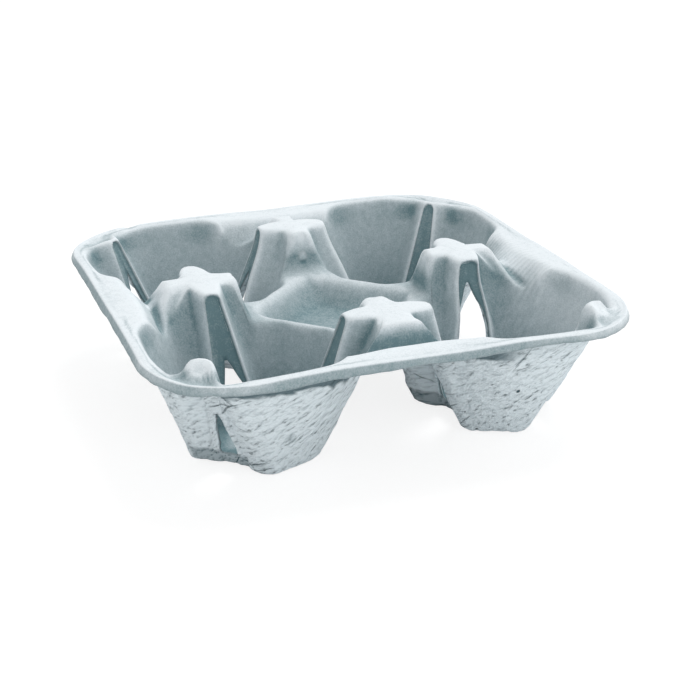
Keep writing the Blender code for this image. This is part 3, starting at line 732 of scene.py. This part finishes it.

# %% [markdown]
# Pulp isn't one even grey, and here its light and shade are painted into its colour too.
# Its raised edges and the tops that the light falls on get a painted highlight, nearly
# white, and its hollows, folds, sunk panels, tower walls, lip and deep parts get painted
# shade. A material can't tell an edge from a hollow by itself, and a painted image would
# have to be drawn by hand. So this painted light and shade is worked out here, at every
# point, as a sum of a few shares.

# %% Painted light and shade on the smooth side
x, y, z = upper.T
n = normals(upper, quads)
faces_up = fade(n[:, 2], 0.35, 0.6)
proud = np.sum((upper - smooth(upper, quads, 6, ~open_edge)) * n, axis=1)
proud = smooth(proud[:, None], quads, 2, np.ones(count), normal_only=False)[:, 0]
hollow = np.clip(-proud / 0.3, 0, 1)
sunk = np.clip(np.linalg.norm(shift, axis=1) / 1.6, 0, 1)
towers = TOWER_X * np.array([(1, 0), (-1, 0), (0, 1), (0, -1)])
tower_reach = np.linalg.norm(upper[:, None, :2] - towers, axis=2).min(axis=1)
tower_wall = (1 - fade(tower_reach, 21, 7)) * (1 - faces_up)
arm_end = fade(-y, 80.2, 0.9) * fade(-y, 86, -2) * fade(abs(x), 17, -2)
crest_side = rim_reach(top)
PLAIN_TONE = 0.38
# Every share here is painted light or shade: painted highlights on raised edges, on tops that the
# light falls on, on the far tower and on one corner's wall, and painted shade in hollows, folds, sunk
# panels, deep parts, on tower walls, the arm's steep end, the lip and the groove inside the crest.
painted_light_shares = [
    (0.10, z / RIM_HEIGHT),  # lighter higher up
    (0.60, np.clip((proud - 0.03) / 0.26, 0, 1)),  # raised edges
    (-0.12, hollow),
    (-0.36, hollow * fade(z, 42, 6)),  # folds between the star's arms
    (-0.12, faces_up),
    (0.62, faces_up * fade(z, 33, 24)),  # tops that the light falls on
    (-0.09, faces_up * fade(z, 16, -16)),  # floors of the wells
    (-0.19, fade(z, 34, -34)),  # everything deep down
    (-0.09, fade(abs(x) + abs(y), 40, -6)),  # the bowl
    (-0.13, in_panel),
    (-0.30, in_panel * sunk),
    (-0.26, fold),
    (-0.20, tower_wall),
    (0.24, tower_wall * fade(y, 30, 20)),  # the far tower is lighter
    (0.29, fade(x, 72, 26) * (y < 0) * fade(z, 14, 20)),  # so is one corner's wall
    (-0.22, arm_end * fade(z, 44, 4) * fade(z, 59.0, -1.2)),  # steep end of the wide arm
    (-0.20, fade(crest_side, 107.6, 0.8) * (1 - faces_up)),  # outside of the lip
    (-0.45, np.exp(-((crest_side - 104.6) / 0.5) ** 2) * faces_up * (z > 45)),
]
painted_light = np.clip(PLAIN_TONE + sum(share * place for share, place in painted_light_shares), 0, 1)
print("mean lightness of the smooth side:", painted_light.mean().round(2))

# %% [markdown]
# The felt is nearly white all over, and is painted a little lighter towards the table. Right
# under the rim, where the lip hides it from the light, a painted shadow makes a dark gap
# with an uneven lower edge.

# %% Painted light and shadow on the rough side
reach = rim_reach(lower)
# Lower edge of the painted shadow under the rim, uneven
shadow_lower_edge = RIM_HEIGHT - 11.2 - 0.33 * (100 - reach)
shadow_lower_edge += 1.7 * lumps(lower, 7, 31) + 1.1 * lumps(lower, 2.2, 35)
shadow_under_rim = fade(reach, 88, 3) * fade(lower[:, 2], shadow_lower_edge, 0.9)
shadow_under_rim *= 1 - 0.9 * fade(lower[:, 0], 34, 16)
# Painted lighter near the table, and darker in the painted shadow under the rim
felt_painted_light = 1.0 + 0.12 * fade(lower[:, 2], 30, -30) - 0.9 * shadow_under_rim
print("points in the dark gap under the rim:", (shadow_under_rim > 0.5).sum())

# %% [markdown]
# Now the numbers become a mesh. Faces at the poles lose their doubled corners. The side, the
# painted light and shade and the way round each well go into attributes, where the material
# finds them.


# %% The mesh, its attributes, and its place in the frame
def attribute(mesh, name, values):
    """Puts one number per point into the mesh, for the material to read."""
    mesh.attributes.new(name, "FLOAT", "POINT").data.foreach_set("value", values.astype(np.float32))


mesh = bpy.data.meshes.new("carrier_sheet")
faces = [list(dict.fromkeys(face)) for face in faces.tolist()]
mesh.from_pydata((body * MM).tolist(), [], [face for face in faces if len(face) > 2])
mesh.shade_smooth()
strip = in_strip * fade(upper[:, 2], BAND + 2, -2)
centre, around = round_well(body)
attribute(mesh, "felt", np.repeat((0.0, 1.0), count))
# The painted light and shade of both sides goes into one attribute for the material
attribute(mesh, "painted_light", np.concatenate([painted_light, felt_painted_light]))
attribute(mesh, "strip", np.maximum(np.tile(strip, 2), foot_band(body)))
mesh.attributes.new("sheet", "FLOAT_VECTOR", "POINT").data.foreach_set(
    "vector", (np.column_stack([around, body[:, 2], centre[:, 0]]) * MM).astype(np.float32).ravel())
carrier = bpy.data.objects.new("carrier_sheet", mesh)
bpy.context.collection.objects.link(carrier)
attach(carrier, "root")
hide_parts("cup_carrier")
print("triangles:", sum(len(face.vertices) - 2 for face in mesh.polygons))

# %% [markdown]
# Shader maths reads best as ordinary sums. The class below wraps a socket, so that a + b
# adds a Math node, and its node() adds any other kind: settings first, then the sockets.


# %% A socket that takes part in sums
class Wire:
    """One output socket of a material. Sums on it become Math nodes."""

    def __init__(self, tree, socket=None):
        self.tree, self.socket = tree, socket

    def node(self, kind, settings=None, sockets=None, out=0):
        """Adds a node of a kind, with its settings and then its sockets' values or links."""
        made = self.tree.nodes.new("ShaderNode" + kind)
        for name, value in (settings or {}).items():
            setattr(made, name, value)
        for name, value in (sockets or {}).items():
            if isinstance(value, Wire):
                self.tree.links.new(value.socket, made.inputs[name])
            else:
                made.inputs[name].default_value = value
        return Wire(self.tree, made.outputs[out])

    def math(self, operation, a, b=0.0, clamp=False):
        return self.node("Math", {"operation": operation, "use_clamp": clamp}, {0: a, 1: b})

    def __add__(self, other):
        return self.math("ADD", self, other)

    def __sub__(self, other):
        return self.math("SUBTRACT", self, other)

    def __mul__(self, other):
        return self.math("MULTIPLY", self, other)

    def __rsub__(self, other):
        return self.math("SUBTRACT", other, self)

    __radd__, __rmul__ = __add__, __mul__

    def clamp(self):
        return self.math("ADD", self, 0.0, True)

    def mix(self, share, a, b):
        """Colour a where share is 0 and colour b where it is 1."""
        return self.node("Mix", {"data_type": "RGBA"}, {0: share, 6: a, 7: b}, out=2)


def material(name):
    """A new material with its Principled shader, and a wire to start from."""
    made = bpy.data.materials.new(name)
    made.use_nodes = True
    return made, Wire(made.node_tree), made.node_tree.nodes["Principled BSDF"]


def srgb(red, green, blue):
    """Screen colour from 0 to 255 as the linear colour that shaders use."""
    c = np.array((red, green, blue)) / 255
    return (*np.where(c <= 0.04045, c / 12.92, ((c + 0.055) / 1.055) ** 2.4), 1.0)


pulp, wire, shader = material("moulded_pulp")
print("the shader has", len(shader.inputs), "sockets")

# %% [markdown]
# Moulded pulp is matt and nearly white, and the painted shade in its hollows is a cool grey.
# The smooth side has a fine grain of flattened fibres, and the felt side has small slanting
# pits and thin cracks, which are also painted darker, a painted shade in them. All of these
# are noise at the scale that the pulp has, and a second, moved copy of the felt's dents
# paints light and shade on their sides. The marks on the felt follow the way round each
# well, so they read the mesh's own coordinates.

# %% Grain, fibres, pits and cracks, and painted light on the dents
place = wire.node("TexCoord", out="Object")
felt = wire.node("Attribute", {"attribute_name": "felt"}, out="Fac")
sheet = wire.node("Attribute", {"attribute_name": "sheet"}, out="Vector")
# Painted light and shade of each point, worked out above
painted_light = wire.node("Attribute", {"attribute_name": "painted_light"}, out="Fac")
strip = wire.node("Attribute", {"attribute_name": "strip"}, out="Fac")


def noise(scale, detail=3.0, vector=place):
    """Noise with so many lumps to the metre."""
    return wire.node("TexNoise", None, {"Vector": vector, "Scale": scale, "Detail": detail})


def slanted(turn, stretch, shift=(0, 0, 0)):
    """The sheet's own coordinates, turned and drawn out, for marks that run at a slant."""
    return wire.node("Mapping", {"vector_type": "TEXTURE"},
                     {"Vector": sheet, "Location": shift, "Rotation": (0, 0, turn),
                      "Scale": (stretch, 1.0, 1.0)})


def step(value, low, high):
    """0 below low and 1 above high, with a soft slope between; high may be the lower one."""
    return wire.node("MapRange", {"interpolation_type": "SMOOTHSTEP"}, {0: value, 1: low, 2: high})


grain = noise(1500.0, 4.0)
cloud = noise(38.0, 4.0)
fleck = noise(330.0, 5.0)
fibres = noise(900.0, 3.0, slanted(0.65, 2.2))
dents = noise(400.0, 2.0, slanted(0.6, 1.7))
# Painted light on the felt's dents: the same noise, moved a little, is taken away, so one side of each
# dent is painted lighter and the other darker
relief_painted_light = dents - noise(400.0, 2.0, slanted(0.6, 1.7, (0.0003, -0.0006, 0)))
pits = step(fibres, 0.42, 0.30) * step(dents, 0.56, 0.40)
cracks = wire.node("TexVoronoi", {"feature": "DISTANCE_TO_EDGE"}, {
    "Vector": slanted(0.5, 2.2), "Scale": 95.0, "Randomness": 1.0}, out="Distance")
crack = step(cracks, 0.030, 0.006) * step(cloud, 0.54, 0.62)
print("nodes for the marks:", len(pulp.node_tree.nodes))

# %% [markdown]
# A few marks have a place of their own: two small nubs where towers meet the bowl, a
# pinhole in one outer wall, and faint ribs across one bridge. The nubs are raised by the
# bump and painted lighter, a painted highlight, with a painted shadow just below each. Each
# mark is the distance to a point, or a box with soft sides.


# %% Nubs with their painted highlight and shadow, a pinhole and the ribs on one bridge
def spot(x, y, z, inner, outer):
    """1 within the inner distance of a place on the carrier and 0 beyond the outer one, in mm."""
    away = wire.node("VectorMath", {"operation": "DISTANCE"},
                     {0: place, 1: (x * MM, y * MM, z * MM)}, out="Value")
    return step(away, outer * MM, inner * MM)


nubs = (spot(0, 45.6, 47.9, 0.8, 3.2) + spot(42.9, 9.1, 43.3, 0.5, 2.4)) * (1 - felt)
# Painted shadow just below each nub
shadow_below_nubs = spot(0, 45.2, 45.6, 0.4, 2.4) + spot(42.6, 9.3, 42.0, 0.4, 2.0)
pin = spot(48.7, -93.1, 25.3, 0.5, 1.1)
across = wire.node("SeparateXYZ", None, {0: place}, out="X")
beside = wire.node("SeparateXYZ", None, {0: place}, out="Y")
on_bridge = (step(across, 0.078, 0.084) * step(across, 0.101, 0.096)
             * step(beside, 0.034, 0.028) * step(beside, -0.036, -0.030))
waves = wire.math("SINE", beside * 2200.0 + across * 300.0)
ribs = waves * on_bridge * (1 - felt) * step(cloud, 0.38, 0.5)
print("nodes with the nubs and ribs:", len(pulp.node_tree.nodes))

# %% [markdown]
# Each side mixes two greys by one number, which adds its marks to its painted light and
# shade; the dark grey is the colour of the painted shade. The same marks raise or sink the
# surface through a bump, and the felt is a little rougher.

# %% Moulded pulp: colour, bump and roughness
# Painted light and shade, the pulp's grain and mottle, a faint painted highlight on the rib crests and
# on the nubs, and the painted shadow below the nubs
shade = (painted_light + (fleck - 0.5) * 0.35 + (cloud - 0.5) * 0.12 + (grain - 0.5) * 0.6 + ribs * 0.05
         + nubs * 0.35 - shadow_below_nubs * 0.3).clamp()
# The dark grey is the painted shade's colour, the light one the pulp's
smooth_side = wire.mix(shade, srgb(112, 139, 145), srgb(232, 239, 243))
# The felt's painted light on its dents, its fibres, and its pits, cracks and pinhole painted darker, a
# painted shade in them; all of these also shape the bump
felt_light_and_marks = (0.97 + relief_painted_light * 1.7 + (fibres - 0.5) * 0.4 - pits * 0.35 - crack * 0.5 - pin).clamp()
felt_side = wire.mix(felt_light_and_marks * painted_light - strip * 0.6, srgb(76, 102, 110), srgb(236, 247, 252))
colour = wire.mix(felt, smooth_side, felt_side)
matted = felt * (1 - strip * 0.75)
height = (grain * 0.12 + fleck * 0.16 + ribs * 0.09 + nubs * 0.9 - pin * 2.0
          + matted * (fibres * 1.3 + dents * 2.2 - pits * 0.5 - crack * 0.7))
bump = wire.node("Bump", None, {"Strength": 0.9, "Distance": 0.0011, "Height": height})
for name, value in (("Base Color", colour), ("Normal", bump), ("Roughness", 0.82 + felt * 0.1)):
    pulp.node_tree.links.new(value.socket, shader.inputs[name])
shader.inputs["Specular IOR Level"].default_value = 0.25
mesh.materials.append(pulp)
print("nodes in the pulp's material:", len(pulp.node_tree.nodes))

# %% [markdown]
# The floor is a plain white sheet. It shows as pure white to the camera, by a little light
# of its own that only camera rays see, but it keeps the carrier's soft shadow. The sky past
# it is white to the camera too, and lights the carrier with less. Two soft suns shape it:
# one from high up behind it on the right, and a weak one from low in front.

# %% Floor, world and lamps
GLOW_SHARE, GLOW = 0.72, 1.16  # how much of the floor is its own light, and how bright that is
SKY_LIGHT = 0.69  # what the sky gives to all but the camera, which sees 1

bpy.ops.mesh.primitive_plane_add(size=6.0)
floor = bpy.context.object
floor.name = "floor"
paper, wire, shader = material("white_floor")
shader.inputs["Base Color"].default_value = srgb(240, 240, 240)
shader.inputs["Roughness"].default_value = 0.9
shader.inputs["Specular IOR Level"].default_value = 0.0
seen = wire.node("LightPath", out="Is Camera Ray")
glow = wire.node("Emission", None, {"Color": (1, 1, 1, 1), "Strength": GLOW})
plain = Wire(paper.node_tree, shader.outputs[0])
shown = wire.node("MixShader", None, {0: seen * GLOW_SHARE, 1: plain, 2: glow})
paper.node_tree.links.new(shown.socket, paper.node_tree.nodes["Material Output"].inputs["Surface"])
floor.data.materials.append(paper)

world = bpy.data.worlds.new("room")
bpy.context.scene.world = world
world.use_nodes = True
sky = world.node_tree.nodes["Background"]
sky.inputs["Color"].default_value = (1, 1, 1, 1)
seen = Wire(world.node_tree).node("LightPath", out="Is Camera Ray")
strength = seen * (1.0 - SKY_LIGHT) + SKY_LIGHT
world.node_tree.links.new(strength.socket, sky.inputs["Strength"])


def sun(name, energy, spread_angle, place):
    """A soft sun lamp that shines from a place towards the middle of the table."""
    light = bpy.data.lights.new(name, "SUN")
    light.energy, light.angle = energy, math.radians(spread_angle)
    stand = bpy.data.objects.new(name, light)
    bpy.context.collection.objects.link(stand)
    stand.location = place
    stand.rotation_euler = (-Vector(place)).to_track_quat("-Z", "Y").to_euler()


sun("overhead", 1.35, 30, (0.5, 0.42, 1.0))
sun("fill", 0.55, 50, (0.45, -1.1, 0.1))
print("lamps:", [light.name for light in bpy.data.lights])

# %% [markdown]
# The camera was worked out from twenty points of the rim and the towers, whose places on
# the carrier are known: it looks down by 22 degrees on to one corner.

# %% Camera
YAW, PITCH = math.radians(20.69259), math.radians(22.29862)
FRAME, FOCAL = 700, 1406.5746  # side of the picture and focal length, in pixels
SENSOR = 36  # width of the camera's sensor in mm
RIGHT_BY, UP_BY, AHEAD_BY = -7.0427, 36.2821, 651.6435  # camera to the rim's middle, in mm
look = Vector((math.sin(YAW) * math.cos(PITCH), math.cos(YAW) * math.cos(PITCH), -math.sin(PITCH)))
right = Vector((math.cos(YAW), -math.sin(YAW), 0))
up = right.cross(look)
lens = bpy.data.cameras.new("camera")
lens.sensor_width, lens.lens = SENSOR, FOCAL / FRAME * SENSOR
camera = bpy.data.objects.new("camera", lens)
bpy.context.collection.objects.link(camera)
offset = right * RIGHT_BY + up * UP_BY + look * AHEAD_BY
camera.matrix_world = Matrix.Translation((Vector((0, 0, RIM_HEIGHT)) - offset) * MM) @ Matrix(
    (right, up, -look)).transposed().to_4x4()
bpy.context.scene.camera = camera
bpy.context.scene.view_settings.view_transform = "Standard"
print("focal length of the camera:", round(lens.lens, 1), "mm")

# %% [markdown]
# The sheet has to stay inside the imported model's box.

# %% The end
bpy.context.view_layer.update()
